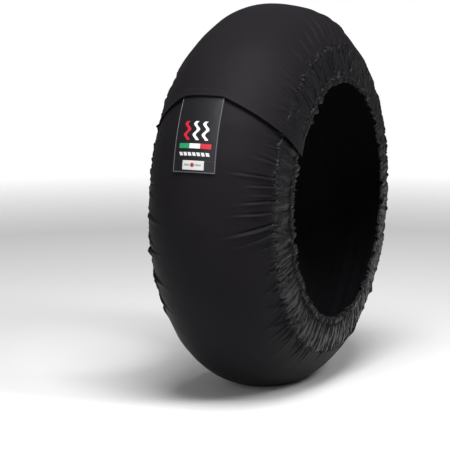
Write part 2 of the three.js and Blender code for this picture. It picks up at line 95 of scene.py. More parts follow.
def place(angle, arc, depth=0.0):
    """Points at an angle in degrees, an arc length across and a depth below the outside.

    radius = r - depth * out_r and y = y - depth * out_y.
    Where it stands, the warmer is pressed flat on the floor.
    """
    y, r, out_y, out_r = section(arc)
    radius = r - depth * out_r
    turned = np.radians(angle)
    z = AXLE_HEIGHT + radius * np.sin(turned)
    floor = np.maximum(depth, 0) + 0.0003
    pressed = floor + 0.5 * (z - floor + np.sqrt((z - floor) ** 2 + 0.0015**2))
    return np.stack(np.broadcast_arrays(radius * np.cos(turned), y - depth * out_y, pressed), axis=-1)


print("hem arc", round(HEM_ARC, 4), "seam arc", round(SEAM_ARC, 4))

# %% [markdown]
# ## Grids to meshes
# Every new piece is a grid of points with two parameters. The grid's rows and columns also give the
# texture coordinates, in metres of cloth, so a weave has the same size on every piece and follows the
# threads.


# %% Mesh from a grid
def grid_faces(rows, columns, first=0):
    """Quads of a grid whose point (i, j) has the number first + i * columns + j."""
    i, j = np.meshgrid(np.arange(rows - 1), np.arange(columns - 1), indexing="ij")
    corner = first + i * columns + j
    return np.stack([corner, corner + columns, corner + columns + 1, corner + 1], axis=-1).reshape(-1, 4)


def build_mesh(name, points, faces, uv=None, smooth=True):
    """Object from an array of points and an array of faces; uv has one pair for each point."""
    mesh = bpy.data.meshes.new(name)
    mesh.vertices.add(len(points))
    mesh.vertices.foreach_set("co", np.asarray(points, dtype=np.float32).ravel())
    corners = faces.shape[1]
    mesh.loops.add(faces.size)
    mesh.loops.foreach_set("vertex_index", faces.astype(np.int32).ravel())
    mesh.polygons.add(len(faces))
    mesh.polygons.foreach_set("loop_start", np.arange(0, faces.size, corners, dtype=np.int32))
    mesh.polygons.foreach_set("use_smooth", np.full(len(faces), smooth))
    mesh.update(calc_edges=True)
    if uv is not None:
        layer = mesh.uv_layers.new(name="cloth")
        layer.data.foreach_set("uv", np.asarray(uv, dtype=np.float32)[faces.ravel()].ravel())
    obj = bpy.data.objects.new(name, mesh)
    bpy.context.scene.collection.objects.link(obj)
    return obj


def grid_object(name, grid, uv):
    """Open surface from a grid of points and its texture coordinates."""
    rows, columns = grid.shape[:2]
    faces = grid_faces(rows, columns)
    return build_mesh(name, grid.reshape(-1, 3), faces, uv.reshape(-1, 2))


def install(piece, *replaced, slot):
    """Makes a piece ride on the warmer and stand for CAD nodes. The slot is not used."""
    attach(piece, "root")
    if replaced:
        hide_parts(*replaced)
    print(piece.name, "faces", len(piece.data.polygons))


# %% [markdown]
# ## The strip and its overlap
# A length along the strip is called the wrap, in degrees from the flap's edge, up over the top and
# round to the joint again. The cover runs past the padded joint, so for the last part it lies on its
# own beginning: it is lifted there by the closure tapes under it, and comes down again along a ramp.
# The flap's edge is straight over the tread and slants down over the skirts.

# %% Overlap and flap
FLAP_ANGLE = 143.3
OVERLAP = math.degrees(0.100 / CROWN_RADIUS)
RAMP = math.degrees(0.120 / CROWN_RADIUS)
FLAP_LIFT = 0.0047
EDGE_LIFT = 0.0016
FLAP_STRAIGHT = 0.036
FLAP_OFFSET = 0.008
FLAP_DROP = math.degrees(0.050 / CROWN_RADIUS)


def smooth_step(value):
    """Eases from 0 to 1: 3 t^2 - 2 t^3 of the value held between 0 and 1."""
    t = np.clip(value, 0, 1)
    return t * t * (3 - 2 * t)


def lift(wrap, arc):
    """Height over the strip's other end: drawn tight on the +Y shoulder, more at the cloth's edge."""
    over = 1 - smooth_step((wrap - OVERLAP) / RAMP)
    shoulder = 1 - 0.7 * smooth_step((arc - 0.045) / 0.055)
    return FLAP_LIFT * over * shoulder + EDGE_LIFT * np.exp(-np.abs(wrap) / 1.2) * (0.4 + 0.6 * shoulder)


def strip_angle(wrap, arc):
    """Angle round the axle of a point of the strip, whose side wings reach further down."""
    reach = HEM_ARC - np.sign(arc - FLAP_OFFSET) * FLAP_OFFSET - FLAP_STRAIGHT
    share = np.maximum(np.abs(arc - FLAP_OFFSET) - FLAP_STRAIGHT, 0) / reach
    fade = np.clip(1 - wrap / OVERLAP, 0, 1)
    return FLAP_ANGLE - wrap + FLAP_DROP * share**0.88 * fade


# %% [markdown]
# ## The cover's relief
# Padding under thin cloth is never quite even, so the cover gets a soft relief: a few long waves, whole
# numbers of them to a turn so that the overlapping ends agree. Along each seam the gathered skirt pulls
# short puckers into the cover, strongest at the seam. A few longer folds are placed one by one.

# %% Relief of the cover
rng = np.random.default_rng(7)


def long_waves(angle, arc, count, turns, lengths, seed):
    """Sum of cosines cos(n angle + 2 pi arc / length + phase), with whole n, scaled to about 1 at most."""
    picker = np.random.default_rng(seed)
    total = 0
    for _ in range(count):
        n = picker.integers(turns[0], turns[1])
        length = picker.uniform(*lengths) * picker.choice([-1, 1])
        phase = picker.uniform(0, 2 * np.pi)
        total = total + np.cos(n * np.radians(angle) + 2 * np.pi * arc / length + phase)
    return total / math.sqrt(count) / 1.6


PUCKER_COUNT = 130
pucker_angle = rng.uniform(0, 360, (2, PUCKER_COUNT))
pucker_length = rng.uniform(0.008, 0.034, (2, PUCKER_COUNT))
pucker_height = rng.uniform(0.0010, 0.0034, (2, PUCKER_COUNT))
pucker_width = rng.uniform(0.45, 1.0, (2, PUCKER_COUNT))
pucker_lean = rng.uniform(-50, 50, (2, PUCKER_COUNT))

# Angle and arc of the fold's middle, lean in degrees per metre, half length, width in degrees, height
LONG_FOLDS = [
    (165.6, -0.112, 0, 0.034, 0.62, 0.0050),
    (168.6, -0.122, 14, 0.024, 0.50, 0.0036),
    (171.4, -0.128, 6, 0.022, 0.45, 0.0030),
    (173.9, -0.122, 18, 0.030, 0.60, 0.0050),
    (177.8, -0.118, 8, 0.034, 0.60, 0.0050),
    (183.0, -0.112, 33, 0.040, 0.75, 0.0062),
    (186.2, -0.118, 42, 0.034, 0.60, 0.0040),
    (189.5, -0.130, 20, 0.018, 0.55, 0.0030),
    (199.5, -0.138, -120, 0.020, 0.60, 0.0034),
    (207.0, -0.136, -50, 0.020, 0.60, 0.0040),
    (214.0, -0.134, -130, 0.022, 0.70, 0.0034),
    (222.0, -0.132, -110, 0.022, 0.70, 0.0034),
    (91.5, -0.096, -75, 0.038, 0.85, 0.0056),
    (87.4, -0.100, -85, 0.036, 0.70, 0.0040),
    (83.5, -0.100, -95, 0.038, 0.85, 0.0050),
    (78.5, -0.102, -110, 0.038, 0.90, 0.0050),
    (97.0, -0.106, -70, 0.030, 0.70, 0.0040),
    (103.0, -0.114, -60, 0.026, 0.65, 0.0036),
    (109.0, -0.118, -50, 0.024, 0.60, 0.0034),
    (116.0, -0.124, -40, 0.020, 0.60, 0.0032),
    (72.0, -0.102, -90, 0.036, 0.90, 0.0040),
    (170.5, 0.122, 20, 0.028, 0.65, 0.0036),
    (181.0, 0.118, -20, 0.032, 0.70, 0.0044),
    (193.0, 0.122, 30, 0.028, 0.70, 0.0036),
    (203.0, 0.124, 10, 0.030, 0.75, 0.0040),
    (212.0, 0.122, -20, 0.028, 0.70, 0.0034),
]


def turned_by(angle, other):
    """Difference of two angles in degrees, between -180 and 180."""
    return (angle - other + 180) % 360 - 180


def fold_shape(away, width):
    """A fold's profile: a rounded ridge with a narrow, deep crease beside it."""
    ridge = 1 / (1 + (away / width) ** 2) ** 1.5
    crease = np.exp(-(((away + 1.15 * width) / (0.55 * width)) ** 2))
    return ridge - 0.75 * crease


def relief(angle, arc):
    """Height of the cover above its plain shape: long waves, puckers at the seams and single folds."""
    height = 0.0011 * long_waves(angle, arc, 9, (2, 11), (0.16, 0.5), 3)
    height = height + 0.00035 * long_waves(angle, arc, 9, (14, 40), (0.08, 0.3), 4)
    for index, side in enumerate((-1, 1)):
        inward = np.maximum(SEAM_ARC - side * arc, 0)
        near = (side * arc > SEAM_ARC - 0.09) * 1.0
        for k in range(PUCKER_COUNT):
            away = turned_by(angle, pucker_angle[index, k] + pucker_lean[index, k] * inward)
            along = np.exp(-((inward / pucker_length[index, k]) ** 2))
            shape = fold_shape(away, pucker_width[index, k]) * along
            height = height + near * pucker_height[index, k] * shape
    for centre, middle, lean, length, width, tall in LONG_FOLDS:
        away = turned_by(angle, centre + lean * (arc - middle))
        height = height + tall * fold_shape(away, width) * np.exp(-(((arc - middle) / length) ** 2))
    return height


def seam_shift(angle, side):
    """How far a seam wanders from its even line, in metres, in whole numbers of waves to a turn."""
    return 0.0022 * long_waves(angle, 0.0, 8, (7, 46), (1, 2), 20 + int(side))


HEM_FOLD = 0.013
HEM_DEGREES = math.degrees(HEM_FOLD / CROWN_RADIUS)


def cover_point(wrap, arc, rise=0.0):
    """Point of the cover's outer face, raised by a small amount."""
    angle = strip_angle(wrap, arc)
    calm = smooth_step(np.abs(turned_by(angle, 270)) / 14)
    near = smooth_step((np.abs(arc) - 0.085) / 0.05)
    shift = near * np.where(arc < 0, -seam_shift(angle, -1), seam_shift(angle, 1))
    hem = 0.0007 * (1 - smooth_step((wrap - HEM_DEGREES + 0.15) / 0.3))
    return place(angle, arc + shift, -lift(wrap, arc) - calm * relief(angle, arc) - hem - rise)


# %% [markdown]
# The cover is one grid. At the flap's end and along both seams its edge is turned under, as a sewer
# would turn it, so the edge is round and shows no cut threads.

# %% Cover cloth
EDGE_TURN = 0.007
CLOTH = 0.0009


def turned_edge(inner, outer, fold, count):
    """Positions from the underside, round the edge at inner and on to outer, with their depths."""
    back = np.linspace(inner + fold, inner + CLOTH, 5)
    round_angle = np.linspace(-np.pi / 2, np.pi / 2, 5)[1:-1]
    bend = inner + CLOTH - CLOTH * np.cos(round_angle)
    face = np.linspace(inner + CLOTH, outer, count)
    under = np.concatenate([np.full(5, 1.0), (1 - np.sin(round_angle)) / 2, np.zeros(count)])
    return np.concatenate([back, bend, face]), under * 2 * CLOTH


row_wrap = np.concatenate(
    [
        np.linspace(HEM_DEGREES, 0.12, 6),
        [0.05, 0.0, 0.0, 0.05],
        np.linspace(0.12, HEM_DEGREES, 14),
        np.linspace(HEM_DEGREES, 360 + OVERLAP, 1300)[1:],
    ]
)
row_under = np.concatenate([np.full(6, 1.0), [0.85, 0.65, 0.35, 0.15], np.zeros(len(row_wrap) - 10)])
half_arc, half_under = turned_edge(-SEAM_ARC, 0.0, EDGE_TURN, 28)
column_arc = np.concatenate([half_arc, -half_arc[::-1][1:]])
column_under = np.concatenate([half_under, half_under[::-1][1:]])
wrap_grid, arc_grid = np.meshgrid(row_wrap, column_arc, indexing="ij")
under_grid = np.maximum(row_under[:, None] * 2 * CLOTH, column_under[None, :])
cover_grid = cover_point(wrap_grid, arc_grid, -under_grid)
cover_uv = np.stack([np.radians(wrap_grid) * CROWN_RADIUS, arc_grid], axis=-1)
cover = grid_object("cover_cloth", cover_grid, cover_uv)
install(cover, "outer_cover", slot="cover_nylon")

# %% [markdown]
# ## The gathered skirts
# A skirt is a straight strip of cloth, 1.22 times as long as the seam that it is sewn to. At the hem an
# elastic draws it in to a shorter circle still, so the cloth has to buckle. A small solver finds its
# folds: the cloth is a net of points, and each pass moves neighbours towards their distance in the flat
# cloth, while the seam holds it. Smoothing along the seam makes folds wide there and leaves them fine
# at the hem, and smoothing across makes them run from seam to hem. An inner and an outer limit keep the
# net near its base surface.

# %% Cloth solver
SKIRT_FULLNESS = 1.22
SKIRT_SLACK = 1.10
TUNNEL_WIDTH = 0.014
TUNNEL_HEIGHT = 0.0012
SEAM_LAP = 0.006
ROWS_PER_TURN = 1500
PASSES = 320
START_SMOOTHINGS = 20
START_HEIGHT = 0.0028
ALONG_SHARE = 1.0
ACROSS_SHARE = 0.9
DIAGONAL_SHARE = 0.3


def restore(points, i0, i1, rest, share):
    """Moves both ends of each link along it, so that its length comes closer to rest by the given share."""
    link = points[i1] - points[i0]
    length = np.linalg.norm(link, axis=-1, keepdims=True)
    move = link * (0.5 * share * (1 - rest[..., None] / np.maximum(length, 1e-9)))
    points[i0] += move
    points[i1] -= move


def relax(base, outward, rest_along, rest_across, free, limits, smoothing, seed):
    """Settles a net of cloth over its base surface and returns its points.

    Links along, across and on both diagonals are restored to their rest lengths pass by pass. The part
    of each point's offset along the outward direction is kept between two limits, and smoothed in both
    directions.
    """
    picker = np.random.default_rng(seed)
    rows, columns = base.shape[:2]
    start = picker.normal(size=(rows, columns))
    for _ in range(START_SMOOTHINGS):
        start[1:-1] = 0.25 * start[:-2] + 0.5 * start[1:-1] + 0.25 * start[2:]
        start[:, 1:-1] = 0.25 * start[:, :-2] + 0.5 * start[:, 1:-1] + 0.25 * start[:, 2:]
    for _ in range(START_SMOOTHINGS):
        start[:, 1:-1] = 0.5 * start[:, :-2] + 0.5 * start[:, 2:]
    points = base + outward * (START_HEIGHT * start / start.std() * free)[..., None]
    diagonal = np.hypot(rest_along[:, :-1], rest_across[:-1, :])
    every = slice(None)
    for _ in range(PASSES):
        for odd in (0, 1):
            lower = slice(odd, rows - 1, 2)
            upper = slice(odd + 1, rows, 2)
            restore(points, (lower, every), (upper, every), rest_along[odd::2], ALONG_SHARE)
            near = slice(odd, columns - 1, 2)
            far = slice(odd + 1, columns, 2)
            restore(points, (every, near), (every, far), rest_across[:, odd::2], ACROSS_SHARE)
            for part in (0, 1):
                low = slice(part, columns - 1, 2)
                high = slice(part + 1, columns, 2)
                rest = diagonal[odd::2, part::2]
                restore(points, (lower, low), (upper, high), rest, DIAGONAL_SHARE)
                restore(points, (lower, high), (upper, low), rest, DIAGONAL_SHARE)
        offset = points - base
        height = np.sum(offset * outward, axis=-1)
        slide = offset - height[..., None] * outward
        along, across = smoothing
        height[1:-1] += along[1:-1] * (0.5 * height[:-2] + 0.5 * height[2:] - height[1:-1])
        height[:, 1:-1] += across * (0.5 * height[:, :-2] + 0.5 * height[:, 2:] - height[:, 1:-1])
        height = np.clip(height, limits[0], limits[1]) * (free > 0)
        hold = np.ones(columns)
        hold[0] = 0
        hold[-1] = 0
        slide = slide * (hold[None, :, None] * (free > 0)[..., None])
        points = base + slide + height[..., None] * outward
    return points


# %% [markdown]
# The strip covers a little more than one turn: its first end is the flap's wing, which lies on top, and
# its last end lies under it. Both ends are plain. The hem is folded back inside round the elastic.

# %% Skirts
FULL_FROM = 5.0
FULL_TO = 354.0


def fullness(wrap):
    """Share of gathering: none in the two plain ends of the strip, and all of it between them."""
    return smooth_step((wrap - FULL_FROM) / 5) * (1 - smooth_step((wrap - (FULL_TO - 5)) / 5))


def skirt_depth(across, wrap):
    """Depth of the plain skirt: under the cover at the seam (0), then even, and round at the hem (1)."""
    seam = 0.0021 * (1 - smooth_step(across / 0.16))
    body = -0.0006 * smooth_step(across / 0.3)
    share = 0.3 + 0.7 * fullness(wrap)
    start = 1 - TUNNEL_WIDTH / (SKIRT_WIDTH + SEAM_LAP)
    round_part = np.clip((across - start) / (1 - start), 0, 1)
    return seam + body - TUNNEL_HEIGHT * share * np.sqrt(np.maximum(np.sin(np.pi * round_part**1.3), 0))


def make_skirt(name, side, seed):
    rows = int(ROWS_PER_TURN * (360 + OVERLAP) / 360)
    columns = 26
    wraps = np.linspace(0, 360 + OVERLAP, rows)
    wrap, across = np.meshgrid(wraps, np.linspace(0, 1, columns), indexing="ij")
    plain_arc = SEAM_ARC - SEAM_LAP + across * (SKIRT_WIDTH + SEAM_LAP)
    angle = strip_angle(wrap, plain_arc)
    arc = plain_arc + seam_shift(angle, side) * (1 - smooth_step(across / 0.5))
    puckers = relief(angle, side * plain_arc) * (1 - smooth_step(across / 0.35))
    depth = skirt_depth(across, wrap) - lift(wrap, side * plain_arc) - puckers
    base = place(angle, side * arc, depth)
    ahead = place(angle, side * arc, depth - 0.001)
    outward = (ahead - base) / np.linalg.norm(ahead - base, axis=-1, keepdims=True)
    full = fullness(wrap)
    free = full * smooth_step((across - 0.075) / 0.03)
    seam_step = np.linalg.norm(base[1:, :1] - base[:-1, :1], axis=-1)
    own_step = np.linalg.norm(base[1:] - base[:-1], axis=-1)
    amount = 0.5 * (full[1:] + full[:-1])
    rest_along = own_step + amount * (SKIRT_FULLNESS * seam_step - own_step)
    rest_across = SKIRT_SLACK * np.linalg.norm(base[:, 1:] - base[:, :-1], axis=-1)
    along = 0.10 - 0.06 * across**0.8
    limits = (-0.0024 * np.ones_like(across), 0.0120 - 0.0060 * smooth_step((across - 0.70) / 0.30))
    net = relax(base, outward, rest_along, rest_across, free, limits, (along, 0.06), seed)
    fold = int(columns * 0.2)
    back = np.arange(columns - 2, columns - 2 - fold, -1)
    inside = net[:, back] + 0.0
    turn_share = np.clip(np.arange(1, fold + 1) / 3, 0, 1)
    drop = 2 * TUNNEL_HEIGHT * (0.3 + 0.7 * full[:, back]) * np.sin(turn_share * np.pi / 2)
    inside = inside - outward[:, back] * drop[..., None]
    grid = np.concatenate([net, inside], axis=1)
    extra = across[:, -1:] + (across[:, -1:] - across[:, back])
    cloth_across = np.concatenate([across, extra], axis=1) * (SKIRT_WIDTH + SEAM_LAP)
    cloth_along = np.concatenate([np.zeros((1, 1)), np.cumsum(rest_along[:, :1], axis=0)])
    uv = np.stack(np.broadcast_arrays(cloth_along, cloth_across), axis=-1)
    if side > 0:
        grid = grid[::-1]
        uv = uv[::-1]
    piece = grid_object(name, grid, uv)
    width = float(cloth_across.max())
    length = float(cloth_along.max())
    return piece, width, length


for name, side, seed in (("right", -1, 11), ("left", 1, 12)):
    skirt, width, length = make_skirt(f"skirt_cloth_{name}", side, seed)
    install(skirt, f"side_skirt_{name}", slot="skirt_nylon")

# %% [markdown]
# ## Shader tools
# A material is a small sum. This class wraps an output of a shader node, so that the sum can be written
# as one: each operator adds one Math node. A single method makes any other kind of node.


# %% Shader sockets
class Term:
    """An output of a shader node, or a plain number, that can be added, multiplied and so on."""

    def __init__(self, tree, socket):
        self.tree = tree
        self.socket = socket

    def math(self, operation, *others):
        settings = {"operation": operation}
        inputs = {index: value for index, value in enumerate((self, *others))}
        return self.tree.node("ShaderNodeMath", settings, inputs)

    def __add__(self, other):
        return self.math("ADD", other)

    def __sub__(self, other):
        return self.math("SUBTRACT", other)

    def __mul__(self, other):
        return self.math("MULTIPLY", other)

    def __truediv__(self, other):
        return self.math("DIVIDE", other)

    def __radd__(self, other):
        return self.math("ADD", other)

    def __rmul__(self, other):
        return self.math("MULTIPLY", other)

    def __rsub__(self, other):
        return self.tree.value(other).math("SUBTRACT", self)

    def __rtruediv__(self, other):
        return self.tree.value(other).math("DIVIDE", self)

    def below(self, limit):
        return self.math("LESS_THAN", limit)

    def above(self, limit):
        return self.math("GREATER_THAN", limit)

    def abs(self):
        return self.math("ABSOLUTE")

    def sin(self):
        return self.math("SINE")


class Material:
    """A material with a Principled shader, and the methods that make its nodes."""

    def __init__(self, name):
        self.material = bpy.data.materials.new(name)
        self.material.use_nodes = True
        self.nodes = self.material.node_tree.nodes
        self.links = self.material.node_tree.links
        self.shader = self.nodes["Principled BSDF"]

    def node(self, kind, settings=None, inputs=None, output=0):
        made = self.nodes.new(kind)
        for key, value in (settings or {}).items():
            setattr(made, key, value)
        for key, value in (inputs or {}).items():
            self.connect(made.inputs[key], value)
        return Term(self, made.outputs[output])

    def connect(self, socket, value):
        if isinstance(value, Term) and value.socket is not None:
            self.links.new(value.socket, socket)
        else:
            socket.default_value = value

    def value(self, number):
        made = self.nodes.new("ShaderNodeValue")
        made.outputs[0].default_value = number
        return Term(self, made.outputs[0])

    def coordinates(self, kind="Object"):
        return self.node("ShaderNodeTexCoord", output=kind)

    def cloth_uv(self):
        pair = self.node("ShaderNodeUVMap", {"uv_map": "cloth"})
        split = self.nodes.new("ShaderNodeSeparateXYZ")
        self.links.new(pair.socket, split.inputs[0])
        return pair, Term(self, split.outputs[0]), Term(self, split.outputs[1])

    def noise(self, vector, scale, detail=2.0, roughness=0.5):
        inputs = {"Vector": vector, "Scale": scale, "Detail": detail, "Roughness": roughness}
        return self.node("ShaderNodeTexNoise", None, inputs)

    def mix(self, factor, a, b):
        made = self.nodes.new("ShaderNodeMix")
        made.data_type = "RGBA"
        self.connect(made.inputs["Factor"], factor)
        self.connect(made.inputs[6], a)
        self.connect(made.inputs[7], b)
        return Term(self, made.outputs[2])

    def bump(self, height, distance, strength=1.0, normal=None):
        inputs = {"Height": height, "Distance": distance, "Strength": strength}
        if normal is not None:
            inputs["Normal"] = normal
        return self.node("ShaderNodeBump", None, inputs)

    def finish(self, **inputs):
        for key, value in inputs.items():
            self.connect(self.shader.inputs[key.replace("_", " ")], value)
        return self.material


def srgb(red, green, blue):
    """Linear colour from 0-255 values: c / 12.92 below 0.04, else ((c + 0.055) / 1.055) ^ 2.4."""
    values = [v / 255 for v in (red, green, blue)]
    linear = [v / 12.92 if v <= 0.04045 else ((v + 0.055) / 1.055) ** 2.4 for v in values]
    return (*linear, 1.0)


# %% [markdown]
# ## Nylon
# The cover is a dense plain weave with a slight sheen. Threads 0.5 mm apart go into the bump, with soft
# creases over them, and the colour and the roughness wander a little, as handled cloth does.


# %% Nylon cloth
def nylon(name, colour, pitch, crease_depth, roughness, specular=0.1):
    m = Material(name)
    pair, u, v = m.cloth_uv()
    where = m.coordinates()
    warp = (u * (2 * math.pi / pitch)).sin()
    weft = (v * (2 * math.pi / pitch)).sin()
    weave = warp * weft
    creases = m.noise(where, 34.0, 4.0, 0.55)
    patches = m.noise(where, 7.0, 2.0)
    darker = tuple(0.86 * c for c in colour[:3]) + (1,)
    paler = tuple(1.16 * c for c in colour[:3]) + (1,)
    tone = m.mix(patches, darker, paler)
    fine = m.bump(weave, 0.00006, 0.5)
    relief_bump = m.bump(creases, crease_depth, 0.8, fine)
    shine = roughness - 0.05 + 0.10 * patches
    m.shader.inputs["Specular IOR Level"].default_value = specular
    return m.finish(Base_Color=tone, Roughness=shine, Normal=relief_bump)


def paint(piece, material):
    piece.data.materials.clear()
    piece.data.materials.append(material)


cover_nylon = nylon("cover_nylon_cloth", srgb(30, 28, 31), 0.0005, 0.0009, 0.48, 0.05)
skirt_nylon = nylon("skirt_nylon_cloth", srgb(22, 21, 24), 0.0004, 0.0006, 0.38, 0.20)
paint(cover, cover_nylon)
for name in ("right", "left"):
    paint(bpy.data.objects[f"skirt_cloth_{name}"], skirt_nylon)

# %% [markdown]
# ## The label
# The label is a stiff satin patch, hung from under the flap's edge, with a raised border. Its print is
# drawn by the shader in the label's own coordinates: a generic heat sign, a three-coloured bar and a
# plain line.

# %% Label
LABEL_WIDTH = 0.077
LABEL_SLANT = 0.052
LABEL_LENGTH = 0.134
LABEL_OFFSET = 0.011
LABEL_TUCK = 0.012
LABEL_RISE = 0.0023
BORDER = 0.0013
label_degrees = math.degrees(1 / CROWN_RADIUS)


def tread_patch(name, start, end, right, left, rows, columns, height):
    """Patch on the tread, between two lengths below the flap's edge and two arcs.

    height(s, t) is its height over the cover.
    """
    s, t = np.meshgrid(np.linspace(start, end, rows), np.linspace(right, left, columns), indexing="ij")
    angle = FLAP_ANGLE + s * label_degrees
    points = place(angle, t - LABEL_SLANT * np.maximum(s, 0), -0.0004 - height(s, t))
    return points, np.stack([t - right, s], axis=-1)


def label_height(s, t):
    """Height of the label: even, with a raised border, and edges that go down to the cover."""
    side = LABEL_WIDTH / 2 - np.abs(t - LABEL_OFFSET)
    edge = np.minimum(side, LABEL_LENGTH - s)
    border = smooth_step(edge / 0.0006) * (1 - smooth_step((edge - BORDER) / 0.0007))
    body = LABEL_RISE * smooth_step((edge + 0.0003) / 0.0010)
    down = np.sin(np.pi * np.clip(s / LABEL_LENGTH, 0, 1))
    swell = 0.0006 * down * np.cos(np.pi * (t - LABEL_OFFSET) / LABEL_WIDTH)
    seam = 0.0005 * np.exp(-(((s - 0.112) / 0.0008) ** 2))
    return body + 0.0009 * border + swell - seam


label_grid, label_uv = tread_patch(
    "label_cloth",
    -LABEL_TUCK,
    LABEL_LENGTH,
    LABEL_OFFSET - LABEL_WIDTH / 2,
    LABEL_OFFSET + LABEL_WIDTH / 2,
    240,
    150,
    label_height,
)
label = grid_object("label_cloth", label_grid, label_uv)
install(label, "label_patch", "label_border", slot="label_cloth")


def label_material():
    m = Material("label_satin")
    pair, u, v = m.cloth_uv()
    across = u - LABEL_WIDTH / 2
    satin = (v * (2 * math.pi / 0.0005)).sin()
    to_edges = {0: LABEL_WIDTH / 2 - across.abs(), 1: LABEL_LENGTH - v}
    edge = m.node("ShaderNodeMath", {"operation": "MINIMUM"}, to_edges)
    border = edge.below(BORDER + 0.0004)
    colour = m.mix(border, srgb(24, 23, 27), srgb(96, 94, 104))

    def band(low, high):
        return v.above(low) * v.below(high)

    def draw(base, mask, ink):
        return m.mix(mask, base, ink)

    half = 0.029
    in_bar = band(0.0848, 0.0932) * across.abs().below(half)
    colour = draw(colour, in_bar, srgb(232, 232, 232))
    colour = draw(colour, in_bar * across.above(half / 3), srgb(40, 150, 100))
    colour = draw(colour, in_bar * across.below(-half / 3), srgb(205, 44, 60))
    for index in (-1, 0, 1):
        swing = 0.0032 * ((v - 0.046) * (2 * math.pi / 0.019)).sin()
        line = (across - 0.0165 * index - swing).abs().below(0.0030)
        ink = srgb(205, 36, 56) if index == 1 else srgb(232, 232, 232)
        colour = draw(colour, line * band(0.046, 0.079), ink)
    for index in range(7):
        lean = (v - 0.1028) * 0.4
        mark = (across - 0.0080 * (3 - index) + lean).abs().below(0.0029) * band(0.0998, 0.1058)
        colour = draw(colour, mark, srgb(225, 225, 225))
    m.shader.inputs["Specular IOR Level"].default_value = 0.3
    return m.finish(Base_Color=colour, Roughness=0.42, Normal=m.bump(satin, 0.00004, 0.4))


paint(label, label_material())

# %% [markdown]
# ## Indicator
# The plate under the bar is moulded plastic with rounded edges, and its lamp is a small clear red dome
# in a ring. Both are heights over a patch of the tread, so they bend with the label as the real ones
# do.

# %% Indicator plate and lamp
PLATE = (0.1138, 0.1298, -0.0084, 0.0302)
PLATE_THICKNESS = 0.0014
LAMP_AT = (0.1213, 0.0119)
LAMP_RADIUS = 0.0024


def rounded_inset(s, t, box, radius):
    """Distance inside a rounded rectangle: radius - |max(q, 0)|, where q is the way past its core."""
    start, end, low, high = box
    across_s = np.abs(s - (start + end) / 2) - (end - start) / 2 + radius
    across_t = np.abs(t - (low + high) / 2) - (high - low) / 2 + radius
    past = np.hypot(np.maximum(across_s, 0), np.maximum(across_t, 0))
    return radius - past - np.minimum(np.maximum(across_s, across_t), 0)


def plate_height(s, t):
    inset = rounded_inset(s, t, PLATE, 0.0016)
    top = LABEL_RISE + 0.0006 + PLATE_THICKNESS * np.sqrt(1 - (1 - np.clip(inset / 0.0007, 0, 1)) ** 2)
    well = np.hypot(s - LAMP_AT[0], t - LAMP_AT[1])
    ring = 0.0003 * np.exp(-(((well - LAMP_RADIUS - 0.0006) / 0.0004) ** 2))
    return np.where(inset > 0, top + ring, LABEL_RISE - 0.0002)


plate_grid, plate_uv = tread_patch(
    "indicator_plate_shell", PLATE[0], PLATE[1], PLATE[2], PLATE[3], 110, 220, plate_height
)
plate = grid_object("indicator_plate_shell", plate_grid, plate_uv)
install(plate, "indicator_plate", slot="indicator_plate_plastic")


def lamp_height(s, t):
    away = np.hypot(s - LAMP_AT[0], t - LAMP_AT[1]) / LAMP_RADIUS
    return LABEL_RISE + 0.0018 + 0.0013 * np.sqrt(np.maximum(1 - away**2, 0))


ring_share, ring_turn = np.meshgrid(np.linspace(0.001, 1, 14), np.linspace(0, 2 * np.pi, 41), indexing="ij")
lamp_s = LAMP_AT[0] + LAMP_RADIUS * ring_share * np.cos(ring_turn)
lamp_t = LAMP_AT[1] + LAMP_RADIUS * ring_share * np.sin(ring_turn)
lamp_arc = lamp_t - LABEL_SLANT * lamp_s
lamp_depth = -0.0004 - lamp_height(lamp_s, lamp_t)
lamp_grid = place(FLAP_ANGLE + lamp_s * label_degrees, lamp_arc, lamp_depth)
lamp = grid_object("indicator_lamp_dome", lamp_grid, np.stack([lamp_s, lamp_t], axis=-1))
install(lamp, "indicator_lamp", slot="red_lamp")


def plate_material():
    m = Material("indicator_plastic")
    pair, u, v = m.cloth_uv()
    grain = m.noise(m.coordinates(), 900.0, 2.0)
    colour = m.mix(grain, srgb(206, 205, 205), srgb(222, 221, 221))
    for index in range(5):
        mark = (u - (0.0060 + 0.0021 * index)).abs().below(0.0006) * (v - 0.1213).abs().below(0.0017)
        colour = m.mix(mark, colour, srgb(96, 96, 100))
        mark = (u - (0.0262 + 0.0021 * index)).abs().below(0.0006) * (v - 0.1213).abs().below(0.0017)
        colour = m.mix(mark, colour, srgb(96, 96, 100))
    red_ring = ((u - 0.0203) * (u - 0.0203) + (v - 0.1213) * (v - 0.1213)).below(0.0036**2)
    colour = m.mix(red_ring, colour, srgb(190, 40, 60))
    return m.finish(Base_Color=colour, Roughness=0.38, Normal=m.bump(grain, 0.00003, 0.4))


def lamp_material():
    m = Material("lamp_red")
    ribs = (m.cloth_uv()[1] * 14000.0).sin()
    m.shader.inputs["Coat Weight"].default_value = 0.6
    return m.finish(Base_Color=srgb(150, 14, 26), Roughness=0.18, Normal=m.bump(ribs, 0.00002, 0.3))


paint(plate, plate_material())
paint(lamp, lamp_material())

# %% [markdown]
# ## Inside the strip
# The felt and the closure tapes are strips with soft edges. Each is a closed form: every row of points
# goes once round the strip's section, and its first and last rows shrink to a point. The cloth that
# carries the cable is an even sheet under the felt.

